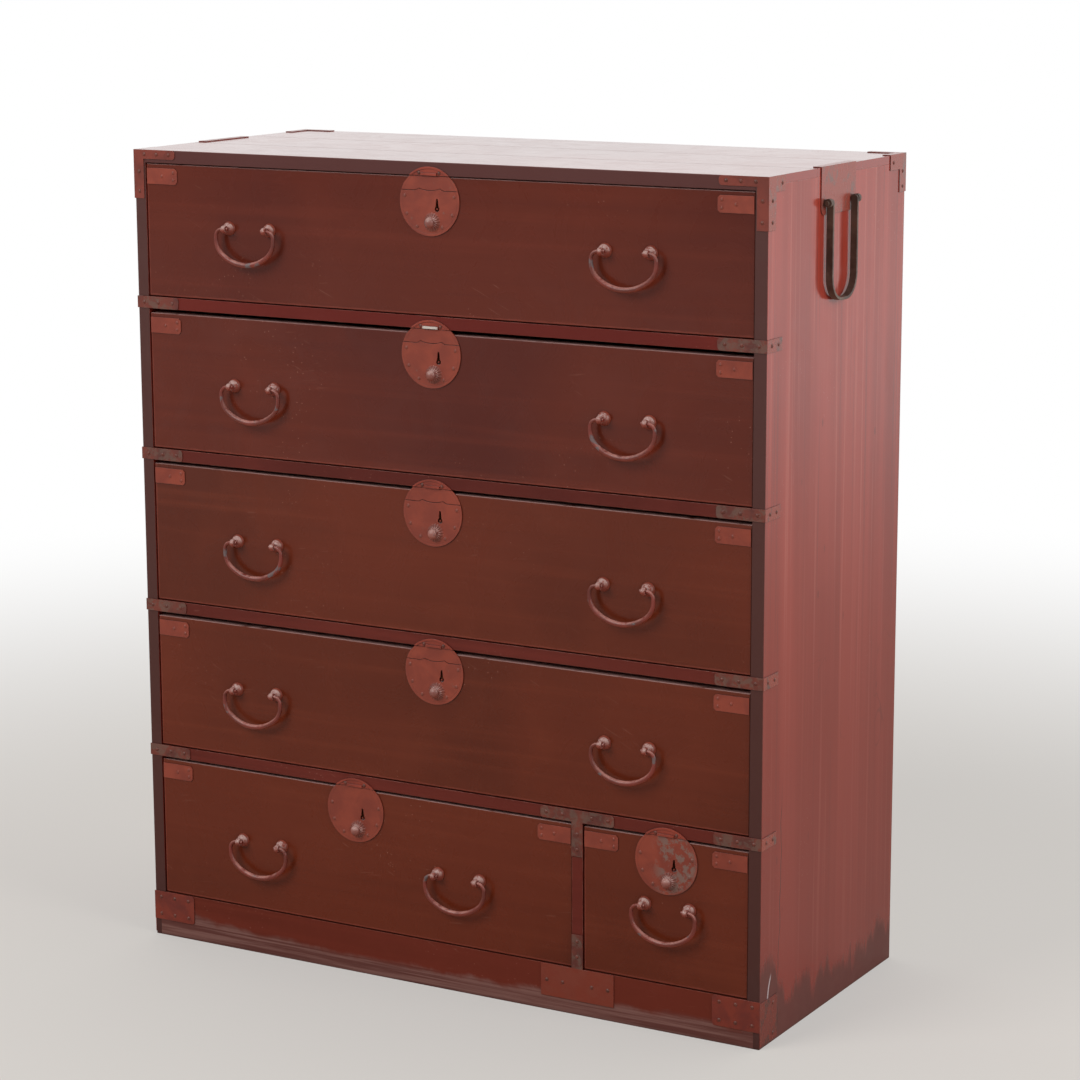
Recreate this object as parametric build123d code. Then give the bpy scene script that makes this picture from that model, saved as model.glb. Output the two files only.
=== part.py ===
from build123d import *
import math
import os

# A lacquered drawer chest with iron fittings: a board case, five rows of drawers with their
# locks and pulls, and the iron plates nailed over the joints.
# Millimetres. X points to the viewer's right, Y to the back, Z up. The origin is on the floor,
# in the middle of the whole footprint, with the pulls and the iron plates counted in it.

# ---------------------------------------------------------------- the case
case_width = 880
case_depth = 382
side_thickness = 16
top_thickness = 16
top_lap = 10              # what is left of the top board where it laps over the sides
top_boards = 3
board_seam = 0.6          # chamfer along the joints of the top and the back
rail_height = 15
rail_depth = 45
joint_depth = 8           # how far rails and back boards enter the sides
base_height = 59
base_thickness = 20
bottom_thickness = 12
back_thickness = 8
back_boards = 5
rear_rail_depth = 20
runner_width = 22
edge_chamfer = 0.5        # of the upright outer corners of the case

# heights of the openings, from the top row down
row_1_opening = 168
row_2_opening = 179
row_3_opening = 183
row_4_opening = 178
row_5_opening = 185

# dark gap above the drawer front in each row
row_1_head_gap = 1.5
row_2_head_gap = 6.0
row_3_head_gap = 5.0
row_4_head_gap = 6.0
row_5_head_gap = 4.0

# the post and the partition between the two drawers of the bottom row
divider_width = 15
divider_centre = 194.5
partition_thickness = 12

# ---------------------------------------------------------------- the drawers
front_thickness = 20
front_recess = 1.5        # the drawer fronts lie this far behind the rails
front_side_gap = 1.0
front_foot_gap = 1.0
front_round = 0.9
box_side_gap = 3.0        # between the drawer box and the side of its opening
box_side_thickness = 10
box_back_thickness = 10
box_bottom_thickness = 7
box_lap = 10              # how far the box enters the back of the front board
box_top_drop = 12         # the box is lower than the front by this much
box_rear_gap = 12         # free space behind a closed drawer
runner_gap = 0.3          # a drawer stands this far over its runners

# ---------------------------------------------------------------- the pulls
pull_heights = [91, 88.5, 88.5, 88.5, 89]    # hinge line over the floor of each opening
small_pull_height = 97.5
wide_pull_spread = 526    # between the two pulls of a drawer
medium_pull_spread = 294
left_pull_shifts = [-5.5, -3, -3, -9]     # how far each hand-set pull is off its even place
right_pull_shifts = [-2, -3, -4, -2]
medium_pull_shift = -2.7
small_pull_shift = 3
post_spacing = 60         # between the two posts of one pull
pull_standoff = 11        # hinge line in front of the drawer front
rosette_radius = 9
rosette_height = 7
post_neck_radius = 3.4
post_ball_radius = 5
post_ball_width = 5.6
bail_width = 90           # over the outside of the bow
bail_drop = 46.5          # from the hinge line to the lowest point
bail_end_radius = 1.9
bail_shoulder_radius = 2.4
bail_bottom_radius = 3.25
bail_knee_radius = 9.0
bail_side_run = 3.5       # short straight stretch at the widest place
bail_corner_radius = 24
bail_tip = 2.5            # what shows inside the post
bail_play = 0.08          # round the bail's ends in their posts

# ---------------------------------------------------------------- the locks
lock_radius = 41.5
lock_rise = 10.8          # the round plate reaches this far up over the rail above
lock_plate_gap = 0.7      # between the drawer's plate and the rail's
lock_shoulder = 1.2       # chamfer of the plate's two upper corners
lock_plate_thickness = 1.4
lock_band_thickness = 1.0
lock_seam_height = 12.6   # the seam over the centre of the plate
lock_seam_cusp = 2.5
lock_seam_gap = 0.7       # open joint between the plate and the band over its seam
lock_seam_half = 15       # the cusps stand this far each side of the middle
lock_seam_end = 24        # where the brace runs out into the straight seam
lock_seam_hollow = 17.5
lock_shift = -6           # the lock sits a little left of the drawer's middle
small_lock_shift = 2
lock_nail_inset = 6.5
lock_nail_angles = [10, -26, -60]    # each side of the plate, from the level through its centre
keyhole_shift = 10.5
keyhole_drop = 8.8
keyhole_radius = 3.4
keyhole_slot_foot = 5     # the slot narrows from its round foot to its head
keyhole_slot_head = 2.2
keyhole_slot_height = 12
keyhole_depth = 8
key_pin_radius = 0.9
knob_shift = 3.5
knob_drop = 24.7
knob_radius = 6
knob_height = 6
knob_rim_height = 2
knob_neck_radius = 4
knob_stem_radius = 2.5
knob_play = 0.08
knob_travel = 2
knob_room = 2.4           # open space behind the knob's head
knob_rosette_radius = 12
knob_rosette_height = 3
knob_flutes = 18
flute_radius = 1.1
bolt_width = 12
bolt_thickness = 7
bolt_travel = 5
bolt_play = 0.5
bolt_head_gap = 1.0       # the drawn-in bolt ends this far under the rail above
bolt_socket_play = 1.5
bolt_socket_depth = 7
wedge_gap = 0.35
slant_margin = 0.5        # how far the bolt's slant reaches past the knob's stem
bolt_foot_margin = 1
mortise_depth = 8
cover_width = 46
cover_margin = 10
cover_thickness = 1.2

through = 1               # how far a cutter passes the wall it opens

# ---------------------------------------------------------------- iron plates
plate_thickness = 1.0
nail_radius = 2.4
nail_height = 1.1
drawer_plate_length = 46
drawer_plate_height = 20
drawer_plate_drop = 5
drawer_plate_chamfer = 3
corner_arm_length = 62
corner_arm_height = 11.5
corner_leg_length = 61
corner_leg_width = 14
corner_side_length = 42
corner_side_width = 18
corner_end_round = 4.5
rear_arm_length = 46
rear_arm_height = 18
rear_leg_length = 46
rear_leg_width = 18
rear_fold = 10
strap_length = 62
strap_side_length = 38
strap_round = 4
tee_length = 101
tee_arm = 43
tee_base_height = 41
base_plate_length = 62
base_plate_height = 38
base_plate_foot = 21
base_wrap_length = 46
base_wrap_height = 54
base_wrap_foot = 3
striker_lip_width = 22
striker_lip_height = 3
striker_ring = 2.4        # width of the raised rim of a striker plate
striker_floor = 0.6
striker_nail_reach = 14
striker_nail_rise = 2.9

# places of nails, as parts of a plate's length
arm_nails = [0.25, 0.55, 0.85]
leg_nails = [0.45, 0.85]
strap_nails = [0.15, 0.5, 0.85]
wrap_nails = [0.3, 0.75]
base_nail_rows = [0.2, 0.8]
base_wrap_nail_rows = [0.15, 0.85]
base_wrap_nail = 0.75
end_nail = 0.8
tee_nails = [-0.42, -0.2, 0.2, 0.42]
tee_arm_nails = [0.35, 0.8]
drawer_plate_nails = [(0.88, 0.28), (0.88, 0.74), (0.5, 0.5)]

# ---------------------------------------------------------------- carrying handles
carry_centre = -5         # the handles sit a little in front of the case's middle
carry_hinge_drop = 41     # hinge line under the top of the case
carry_leg_spacing = 68    # between the middles of the two legs
carry_length = 116
carry_bar_width = 8.5
carry_bar_thickness = 3.2
carry_bend_radius = 28
carry_standoff = 6.6
carry_pin_radius = 2.5
carry_pin_tip = 3
carry_play = 0.08
carry_eye_radius = 5
carry_eye_width = 6
carry_eye_gap = 0.5
carry_neck_radius = 4
saddle_width = 96
saddle_height = 55
saddle_round = 8
saddle_fold = 10
saddle_thickness = 1.2

# ---------------------------------------------------------------- derived places
openings = [row_1_opening, row_2_opening, row_3_opening, row_4_opening, row_5_opening]
head_gaps = [row_1_head_gap, row_2_head_gap, row_3_head_gap, row_4_head_gap, row_5_head_gap]
rows = len(openings)
case_height = top_thickness + sum(openings) + (rows - 1) * rail_height + base_height
half_width = case_width / 2
inner_half = half_width - side_thickness
front_reach = pull_standoff + post_ball_radius - front_recess
case_front = (front_reach - case_depth - plate_thickness - nail_height) / 2
case_back = case_front + case_depth
inner_back = case_back - back_thickness
rear_rail_front = inner_back - rear_rail_depth
rail_back = case_front + rail_depth
iron_face = case_front - plate_thickness
front_face = case_front + front_recess
front_back = front_face + front_thickness
side_top = case_height - top_lap
top_underside = case_height - top_thickness

ceilings = []
floors = []
level = top_underside
for opening in openings:
    ceilings.append(level)
    level = level - opening
    floors.append(level)
    level = level - rail_height

divider_left = divider_centre - divider_width / 2
divider_right = divider_centre + divider_width / 2
medium_centre = (divider_left - inner_half) / 2
small_centre = (divider_right + inner_half) / 2
wide_pulls = []
for left_shift, right_shift in zip(left_pull_shifts, right_pull_shifts):
    wide_pulls.append([left_shift - wide_pull_spread / 2, right_shift + wide_pull_spread / 2])
medium_middle = medium_centre + medium_pull_shift
medium_pulls = [medium_middle - medium_pull_spread / 2, medium_middle + medium_pull_spread / 2]
small_pulls = [small_centre + small_pull_shift]

# one lock to a drawer: its row and its place in X
lock_rows = [0, 1, 2, 3, 4, 4]
locks = [lock_shift, lock_shift, lock_shift, lock_shift,
         medium_centre + lock_shift, small_centre + small_lock_shift]
carry_middle = (case_front + case_back) / 2 + carry_centre
carry_hinge_z = case_height - carry_hinge_drop
tee_base_centre = base_height - tee_base_height / 2


# ---------------------------------------------------------------- small helpers
def slab(x0, x1, y0, y1, z0, z1):
    """A board between two opposite corners, given in any order."""
    size = (abs(x1 - x0), abs(y1 - y0), abs(z1 - z0))
    return Pos((x0 + x1) / 2, (y0 + y1) / 2, (z0 + z1) / 2) * Box(*size)


def front_shape(sketch, face_y, thickness):
    """A flat shape drawn in X and Z, standing forward of the plane y = face_y."""
    solid = extrude(sketch, amount=thickness)
    return Pos(0, face_y, 0) * Rot(90, 0, 0) * solid


def rod_y(x, z, y0, y1, radius):
    """A round rod along Y."""
    rod = Cylinder(radius, abs(y1 - y0))
    return Pos(x, (y0 + y1) / 2, z) * Rot(90, 0, 0) * rod


def rod_x(x0, x1, y, z, radius):
    """A round rod along X."""
    rod = Cylinder(radius, abs(x1 - x0))
    return Pos((x0 + x1) / 2, y, z) * Rot(0, 90, 0) * rod


def save(node, solids):
    """Write the solids of one sub-part to its own file."""
    pieces = []
    for piece in solids:
        pieces.extend(piece.solids())
    export_step(Compound(pieces), f"parts/{node}.step")


def plate(x0, x1, z0, z1, face_y, corner_round, rounded_x):
    """A thin plate on a front face, with the two corners at x = rounded_x rounded."""
    body = slab(x0, x1, face_y - plate_thickness, face_y, z0, z1)
    ends = []
    for edge in body.edges().filter_by(Axis.Y):
        if abs(edge.center().X - rounded_x) < corner_round / 10:
            ends.append(edge)
    return fillet(ends, corner_round)


def dome_radius(radius, height):
    """The radius of the sphere that a dome is cut from."""
    return (radius ** 2 + height ** 2) / (2 * height)


def dome_profile(radius, height):
    """A half section for a shallow dome, drawn in X (radius) and Y (height)."""
    with_arc = RadiusArc((radius, 0), (0, height), -dome_radius(radius, height))
    return make_face(Wire([Line((0, height), (0, 0)), Line((0, 0), (radius, 0)), with_arc]))


def turned(sketch):
    """Turn a half section drawn in X and Y about the Y axis, then point it out to -Y."""
    return Rot(180, 0, 0) * revolve(sketch, Axis.Y)


nail_head = turned(dome_profile(nail_radius, nail_height))


def nail_front(x, z, face_y):
    """The head of a nail in a front face."""
    return Pos(x, face_y, z) * nail_head


def nail_back(x, z, face_y):
    """The head of a nail in the back of the case."""
    return Pos(x, face_y, z) * Rot(0, 0, 180) * nail_head


def nail_side(y, z, side):
    """The head of a nail in a side plate. side is -1 on the left and 1 on the right."""
    return Pos(side * (half_width + plate_thickness), y, z) * Rot(0, 0, side * 90) * nail_head


# ---------------------------------------------------------------- case boards
def side_board(side):
    inner = side * inner_half
    outer = side * half_width
    housed = side * (inner_half + joint_depth)
    board = slab(inner, outer, case_front, case_back, 0, side_top)
    corners = [edge for edge in board.edges().filter_by(Axis.Z)
               if abs(edge.center().X - outer) < side_thickness / 2]
    board = chamfer(corners, edge_chamfer)
    for floor in floors[:-1]:
        board -= slab(inner, housed, case_front, rail_back, floor - rail_height, floor)
    board -= slab(inner, housed, case_front, case_front + base_thickness, 0, base_height)
    board -= slab(inner, housed, case_front + base_thickness, inner_back,
                  base_height - bottom_thickness, base_height)
    board -= slab(inner, housed, inner_back, case_back, 0, top_underside)
    return board


def bolt_socket(row, lock_x):
    """The hole over a drawer front that its lock bolt rises into."""
    y0, y1 = bolt_span()
    reach = bolt_width / 2 + bolt_socket_play
    x = lock_x + knob_shift
    return slab(x - reach, x + reach, y0 - bolt_socket_play, y1 + bolt_socket_play,
                ceilings[row], ceilings[row] + bolt_socket_depth)


def bolt_span():
    """Front and back of a lock bolt in Y."""
    y0 = front_back - mortise_depth + bolt_play
    return y0, y0 + bolt_thickness


def top_panel():
    boards = []
    depth = case_depth / top_boards
    for index in range(top_boards):
        y0 = case_front + index * depth
        board = slab(-half_width, half_width, y0, y0 + depth, top_underside, case_height)
        board = chamfer(board.edges().filter_by(Axis.X).group_by(Axis.Z)[-1], board_seam)
        for side in (-1, 1):
            board -= slab(side * inner_half, side * half_width, y0, y0 + depth,
                          top_underside, side_top)
        boards.append(board)
    boards[0] -= bolt_socket(0, locks[0])
    return boards


def back_panel():
    reach = inner_half + joint_depth
    width = 2 * reach / back_boards
    boards = []
    for index in range(back_boards):
        x0 = -reach + index * width
        board = slab(x0, x0 + width, inner_back, case_back, 0, top_underside)
        boards.append(chamfer(board.edges().filter_by(Axis.Z).group_by(Axis.Y)[-1], board_seam))
    return boards


def front_rails():
    reach = inner_half + joint_depth
    rails = []
    for row in range(rows - 1):
        rail = slab(-reach, reach, case_front, rail_back, floors[row] - rail_height, floors[row])
        for drawer_row, lock_x in zip(lock_rows, locks):
            if drawer_row == row + 1:
                rail -= bolt_socket(drawer_row, lock_x)
        rails.append(rail)
    return rails


def base_rail():
    reach = inner_half + joint_depth
    return slab(-reach, reach, case_front, case_front + base_thickness, 0, base_height)


def bottom_panel():
    reach = inner_half + joint_depth
    return slab(-reach, reach, case_front + base_thickness, inner_back,
                base_height - bottom_thickness, base_height)


def divider():
    post = slab(divider_left, divider_right, case_front, rail_back, base_height, ceilings[-1])
    half = partition_thickness / 2
    wall = slab(divider_centre - half, divider_centre + half, rail_back, inner_back,
                base_height, ceilings[-1])
    return [post, wall]


def drawer_runners():
    strips = []
    for floor in floors[:-1]:
        for side in (-1, 1):
            strips.append(slab(side * (inner_half - runner_width), side * inner_half,
                               rail_back, rear_rail_front, floor - rail_height, floor))
        strips.append(slab(-inner_half, inner_half, rear_rail_front, inner_back,
                           floor - rail_height, floor))
    return strips


# ---------------------------------------------------------------- ironwork of the case
def side_plate(side, y0, y1, z0, z1):
    outer = side * half_width
    return slab(outer, outer + side * plate_thickness, y0, y1, z0, z1)


def front_corner(side):
    """An L on the front and an L on the side, bent round the upper front corner."""
    edge = side * (half_width + plate_thickness)
    inner_end = side * (half_width - corner_arm_length)
    arm = plate(inner_end, edge, case_height - corner_arm_height, case_height,
                case_front, corner_end_round, inner_end)
    leg = slab(edge, side * (half_width - corner_leg_width), case_front - plate_thickness,
               case_front, case_height - corner_leg_length, case_height)
    side_arm = side_plate(side, case_front, case_front + corner_side_length,
                          case_height - corner_side_width, case_height)
    side_leg = side_plate(side, case_front, case_front + corner_side_width,
                          case_height - corner_leg_length, case_height)
    return arm + leg + side_arm + side_leg


def rear_corner(side):
    """The same at a rear corner, folded a little way over the top."""
    edge = side * (half_width + plate_thickness)
    back = case_back + plate_thickness
    arm = slab(edge, side * (half_width - rear_arm_length), case_back, back,
               case_height - rear_arm_height, case_height + plate_thickness)
    leg = slab(edge, side * (half_width - rear_leg_width), case_back, back,
               case_height - rear_leg_length, case_height)
    side_arm = side_plate(side, case_back - rear_arm_length, case_back,
                          case_height - rear_arm_height, case_height + plate_thickness)
    side_leg = side_plate(side, case_back - rear_leg_width, case_back,
                          case_height - rear_leg_length, case_height)
    fold_back = slab(side * half_width, side * (half_width - rear_arm_length),
                     case_back - rear_fold, case_back,
                     case_height, case_height + plate_thickness)
    fold_side = slab(side * half_width, side * (half_width - rear_fold),
                     case_back - rear_arm_length, case_back,
                     case_height, case_height + plate_thickness)
    return arm + leg + side_arm + side_leg + fold_back + fold_side


def rail_straps():
    """Straps round the corner at each end of each rail."""
    straps = []
    for floor in floors[:-1]:
        for side in (-1, 1):
            edge = side * (half_width + plate_thickness)
            inner_end = side * (half_width - strap_length)
            face = plate(inner_end, edge, floor - rail_height, floor, case_front,
                         strap_round, inner_end)
            wrap = side_plate(side, case_front, case_front + strap_side_length,
                              floor - rail_height, floor)
            straps.append(face + wrap)
    return straps


def tee_plates():
    """The plates over the two ends of the divider's post."""
    half = tee_length / 2
    rail_top = floors[-2]
    rail_foot = ceilings[-1]
    upper = slab(divider_centre - half, divider_centre + half, case_front - plate_thickness,
                 case_front, rail_foot, rail_top)
    upper = fillet(upper.edges().filter_by(Axis.Y), strap_round)
    upper += slab(divider_left, divider_right, case_front - plate_thickness, case_front,
                  rail_foot - tee_arm, rail_foot)
    lower = slab(divider_centre - half, divider_centre + half, case_front - plate_thickness,
                 case_front, base_height - tee_base_height, base_height)
    lower += slab(divider_left, divider_right, case_front - plate_thickness, case_front,
                  base_height, base_height + tee_arm)
    return [upper, lower]


def base_plates():
    plates = []
    for side in (-1, 1):
        edge = side * (half_width + plate_thickness)
        inner_end = side * (half_width - base_plate_length)
        face = plate(inner_end, edge, base_plate_foot, base_plate_foot + base_plate_height,
                     case_front, strap_round, inner_end)
        wrap = side_plate(side, case_front, case_front + base_wrap_length,
                          base_wrap_foot, base_wrap_foot + base_wrap_height)
        plates.append(face + wrap)
    return plates


def striker(row, lock_x):
    """The upper part of a lock's round plate, nailed on the rail over the drawer."""
    rail_foot = ceilings[row]
    centre_z = rail_foot + lock_rise - lock_radius
    above = Pos(lock_x, rail_foot + lock_radius) * Rectangle(4 * lock_radius, 2 * lock_radius)
    disc = Pos(lock_x, centre_z) * Circle(lock_radius)
    inner = Pos(lock_x, centre_z) * Circle(lock_radius - striker_ring)
    body = front_shape(disc & above, case_front, lock_plate_thickness)
    body -= front_shape(inner & above, case_front - striker_floor, lock_plate_thickness)
    half = striker_lip_width / 2
    body += slab(lock_x - half, lock_x + half, case_front - lock_plate_thickness - striker_floor,
                 case_front, rail_foot, rail_foot + striker_lip_height)
    return body


def corner_nails(side):
    """Nails of one front and one rear corner plate."""
    nails = []
    arm_z = case_height - corner_arm_height / 2
    back = case_back + plate_thickness
    for step in arm_nails:
        nails.append(nail_front(side * (half_width - corner_arm_length * step), arm_z, iron_face))
    for step in leg_nails:
        front_z = case_height - corner_leg_length * step
        rear_z = case_height - rear_leg_length * step
        nails.append(nail_front(side * (half_width - corner_leg_width / 2), front_z, iron_face))
        nails.append(nail_side(case_front + corner_side_width / 2, front_z, side))
        nails.append(nail_side(case_back - rear_leg_width / 2, rear_z, side))
        nails.append(nail_back(side * (half_width - rear_leg_width / 2), rear_z, back))
    nails.append(nail_side(case_front + corner_side_length * end_nail,
                           case_height - corner_side_width / 2, side))
    rear_arm_z = case_height - rear_arm_height / 2
    nails.append(nail_side(case_back - rear_arm_length * end_nail, rear_arm_z, side))
    nails.append(nail_back(side * (half_width - rear_arm_length * end_nail), rear_arm_z, back))
    return nails


def strap_and_base_nails(side):
    nails = []
    for floor in floors[:-1]:
        z = floor - rail_height / 2
        for step in strap_nails:
            nails.append(nail_front(side * (half_width - strap_length * step), z, iron_face))
        for step in wrap_nails:
            nails.append(nail_side(case_front + strap_side_length * step, z, side))
    for step in strap_nails:
        for height in base_nail_rows:
            nails.append(nail_front(side * (half_width - base_plate_length * step),
                                    base_plate_foot + base_plate_height * height, iron_face))
    for height in base_wrap_nail_rows:
        nails.append(nail_side(case_front + base_wrap_length * base_wrap_nail,
                               base_wrap_foot + base_wrap_height * height, side))
    return nails


def tee_plate_nails():
    nails = []
    for step in tee_nails:
        x = divider_centre + tee_length * step
        nails.append(nail_front(x, ceilings[-1] + rail_height / 2, iron_face))
        nails.append(nail_front(x, tee_base_centre, iron_face))
    for step in tee_arm_nails:
        nails.append(nail_front(divider_centre, ceilings[-1] - tee_arm * step, iron_face))
        nails.append(nail_front(divider_centre, base_height + tee_arm * step, iron_face))
    return nails


def striker_nails():
    nails = []
    for row, lock_x in zip(lock_rows, locks):
        for side in (-1, 1):
            nails.append(nail_front(lock_x + side * striker_nail_reach,
                                    ceilings[row] + striker_nail_rise,
                                    case_front - striker_floor))
    return nails


def case_nails():
    nails = tee_plate_nails() + striker_nails()
    for side in (-1, 1):
        nails += corner_nails(side) + strap_and_base_nails(side)
    return nails


# ---------------------------------------------------------------- carrying handles
def saddle(side):
    """The plate behind a carrying handle, folded over the edge of the top."""
    outer = side * half_width
    skin = side * saddle_thickness
    y0 = carry_middle - saddle_width / 2
    y1 = y0 + saddle_width
    foot = case_height - saddle_height
    face = slab(outer, outer + skin, y0, y1, foot, case_height + saddle_thickness)
    low = [edge for edge in face.edges().filter_by(Axis.X)
           if edge.center().Z < foot + saddle_round]
    face = fillet(low, saddle_round)
    fold = slab(outer - side * saddle_fold, outer, y0, y1,
                case_height, case_height + saddle_thickness)
    return face + fold


def carry_post(side, end):
    """An eye post. end is -1 for the front leg of the handle and 1 for the rear one."""
    x = side * (half_width + carry_standoff)
    y0 = carry_hinge_y(end)
    y1 = y0 + end * carry_eye_width
    root = side * (half_width + saddle_thickness)
    eye = rod_y(x, carry_hinge_z, y0, y1, carry_eye_radius)
    neck = rod_x(root, x, (y0 + y1) / 2, carry_hinge_z, carry_neck_radius)
    neck = neck & slab(root, x, y0, y1, carry_hinge_z - carry_eye_radius,
                       carry_hinge_z + carry_eye_radius)
    hole = rod_y(x, carry_hinge_z, y0 - end * through, y1 + end * through,
                 carry_pin_radius + carry_play)
    return eye + neck - hole


def carry_hinge_y(end):
    """The inner face of an eye post, next to the handle's leg."""
    leg = carry_leg_spacing / 2 + carry_bar_thickness / 2
    return carry_middle + end * (leg + carry_eye_gap)


def carry_handle(side):
    """A flat bar bent to a U, with round leg ends, hung by a pin at the end of each leg."""
    half = carry_leg_spacing / 2
    out = half + carry_bar_thickness / 2
    inner = half - carry_bar_thickness / 2
    bend_out = carry_bend_radius + carry_bar_thickness / 2
    bend_in = carry_bend_radius - carry_bar_thickness / 2
    blank = RectangleRounded(2 * out, 2 * carry_length, bend_out)
    hollow = RectangleRounded(2 * inner, 2 * (carry_length - carry_bar_thickness), bend_in)
    hanging = Pos(0, -carry_length / 2) * Rectangle(4 * half, carry_length)
    outline = (blank - hollow) & hanging
    bar = extrude(Plane.YZ * outline, amount=carry_bar_width / 2, both=True)
    x = side * (half_width + carry_standoff)
    bar = Pos(x, carry_middle, carry_hinge_z) * bar
    for end in (-1, 1):
        root = carry_middle + end * half
        tip = carry_hinge_y(end) + end * (carry_eye_width + carry_pin_tip)
        bar += rod_y(x, carry_hinge_z, carry_middle + end * inner, carry_middle + end * out,
                     carry_bar_width / 2)
        bar += rod_y(x, carry_hinge_z, root, tip, carry_pin_radius)
    return bar


# ---------------------------------------------------------------- pulls
def pull_post(x, z):
    """A domed rosette with a pierced ball in front of it."""
    rosette = Pos(x, front_face, z) * turned(dome_profile(rosette_radius, rosette_height))
    y = front_face - pull_standoff
    neck = rod_y(x, z, front_face - rosette_height / 2, y, post_neck_radius)
    span = 4 * post_ball_radius
    ball = Sphere(post_ball_radius) & Box(post_ball_width, span, span)
    body = rosette + neck + Pos(x, y, z) * ball
    reach = post_ball_width
    return body - rod_x(x - reach, x + reach, y, z, bail_end_radius + bail_play)


def bail():
    """The swinging bow of a pull, drawn about its hinge line along X."""
    side = bail_width / 2 - bail_shoulder_radius
    low = -(bail_drop - bail_bottom_radius)
    start = side - bail_knee_radius
    tip = post_spacing / 2 - post_ball_width / 2 - bail_tip
    knee = -(bail_knee_radius + bail_side_run)
    drop = knee - low
    corner = side - bail_corner_radius
    sweep_radius = (corner ** 2 + drop ** 2 - bail_corner_radius ** 2) \
        / (2 * (drop - bail_corner_radius))
    hub = low + sweep_radius
    turn = math.atan2(corner, hub - knee)
    touch = (sweep_radius * math.sin(turn), hub - sweep_radius * math.cos(turn))
    quarter = math.sqrt(0.5)
    elbow = (start + bail_knee_radius * quarter, bail_knee_radius * (quarter - 1))
    mid = turn + (math.pi / 2 - turn) / 2
    cheek = (corner + bail_corner_radius * math.sin(mid), knee - bail_corner_radius * math.cos(mid))
    half = [(start, 0), elbow, (side, -bail_knee_radius), (side, knee), cheek, touch, (0, low)]
    arcs = [ThreePointArc(half[0], half[1], half[2]), Line(half[2], half[3]),
            ThreePointArc(half[3], half[4], half[5]),
            ThreePointArc(half[5], (0, low), (-touch[0], touch[1])),
            ThreePointArc((-touch[0], touch[1]), (-cheek[0], cheek[1]), (-side, knee)),
            Line((-side, knee), (-side, -bail_knee_radius)),
            ThreePointArc((-side, -bail_knee_radius), (-elbow[0], elbow[1]), (-start, 0))]
    path = Plane.XZ * Wire(arcs)
    total = path.length
    first = arcs[0].length + arcs[1].length
    stations = [0, first / total, 0.5, 1 - first / total, 1]
    radii = [bail_end_radius, bail_shoulder_radius, bail_bottom_radius,
             bail_shoulder_radius, bail_end_radius]
    sections = []
    for station, radius in zip(stations, radii):
        sections.append(Plane(origin=path @ station, z_dir=path % station) * Circle(radius))
    bow = sweep(sections, path=path, multisection=True)
    for end in (-1, 1):
        bow += rod_x(end * tip, end * start, 0, 0, bail_end_radius)
    return bow


def placed_bail(x, z):
    return Pos(x, front_face - pull_standoff, z) * bail_shape


# ---------------------------------------------------------------- locks
def lock_outline(lock_x, rail_foot):
    """The round plate of a drawer lock, cut straight under the rail, in X and Z."""
    centre_z = rail_foot + lock_rise - lock_radius
    cut = rail_foot - lock_plate_gap
    half = math.sqrt(lock_radius ** 2 - (cut - centre_z) ** 2) - lock_shoulder
    slope = 2 * lock_radius
    below = Polyline((lock_x - half, cut), (lock_x + half, cut),
                     (lock_x + half + slope, cut - slope), (lock_x, cut - 3 * slope),
                     (lock_x - half - slope, cut - slope), close=True)
    return (Pos(lock_x, centre_z) * Circle(lock_radius)) & make_face(below)


def below_seam(lock_x, centre_z, lift):
    """The field under the brace-shaped seam of a lock plate, or a little over it."""
    seam = centre_z + lock_seam_height + lift
    low = centre_z - 2 * lock_radius
    reach = 2 * lock_radius
    top = seam + lock_seam_cusp
    hollow = seam + lock_seam_cusp / 3
    left_end = (lock_x - lock_seam_end, seam)
    left_cusp = (lock_x - lock_seam_half, top)
    right_cusp = (lock_x + lock_seam_half, top)
    right_end = (lock_x + lock_seam_end, seam)
    line = [Line((lock_x - reach, seam), left_end),
            ThreePointArc(left_end, (lock_x - lock_seam_hollow, hollow), left_cusp),
            ThreePointArc(left_cusp, (lock_x, seam), right_cusp),
            ThreePointArc(right_cusp, (lock_x + lock_seam_hollow, hollow), right_end),
            Line(right_end, (lock_x + reach, seam)),
            Line((lock_x + reach, seam), (lock_x + reach, low)),
            Line((lock_x + reach, low), (lock_x - reach, low)),
            Line((lock_x - reach, low), (lock_x - reach, seam))]
    return make_face(Wire(line))


def keyhole(lock_x, centre_z):
    x = lock_x + keyhole_shift
    z = centre_z - keyhole_drop
    foot = keyhole_slot_foot / 2
    head = keyhole_slot_head / 2
    top = z + keyhole_slot_height
    slot = Polyline((x - foot, z), (x + foot, z), (x + head, top), (x - head, top), close=True)
    hole = Pos(x, z) * Circle(keyhole_radius) + make_face(slot)
    return front_shape(hole, front_face + keyhole_depth, keyhole_depth + 2 * lock_plate_thickness)


def lock_plates(lock_x, rail_foot, banded):
    """The plate on the drawer front. A banded one has a second plate over its seam."""
    centre_z = rail_foot + lock_rise - lock_radius
    outline = lock_outline(lock_x, rail_foot)
    holes = keyhole(lock_x, centre_z) + stem_hole(lock_x, centre_z)
    if not banded:
        return [front_shape(outline, front_face, lock_plate_thickness) - holes]
    plate_field = below_seam(lock_x, centre_z, 0)
    open_field = below_seam(lock_x, centre_z, lock_seam_gap)
    lower = front_shape(outline & plate_field, front_face, lock_plate_thickness) - holes
    upper = front_shape(outline - open_field, front_face, lock_band_thickness)
    return [lower, upper]


def stem_hole(lock_x, centre_z):
    y0 = front_face - lock_plate_thickness - knob_rosette_height - through
    return rod_y(lock_x + knob_shift, centre_z - knob_drop, y0, front_back - mortise_depth,
                 knob_stem_radius + knob_play)


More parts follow.
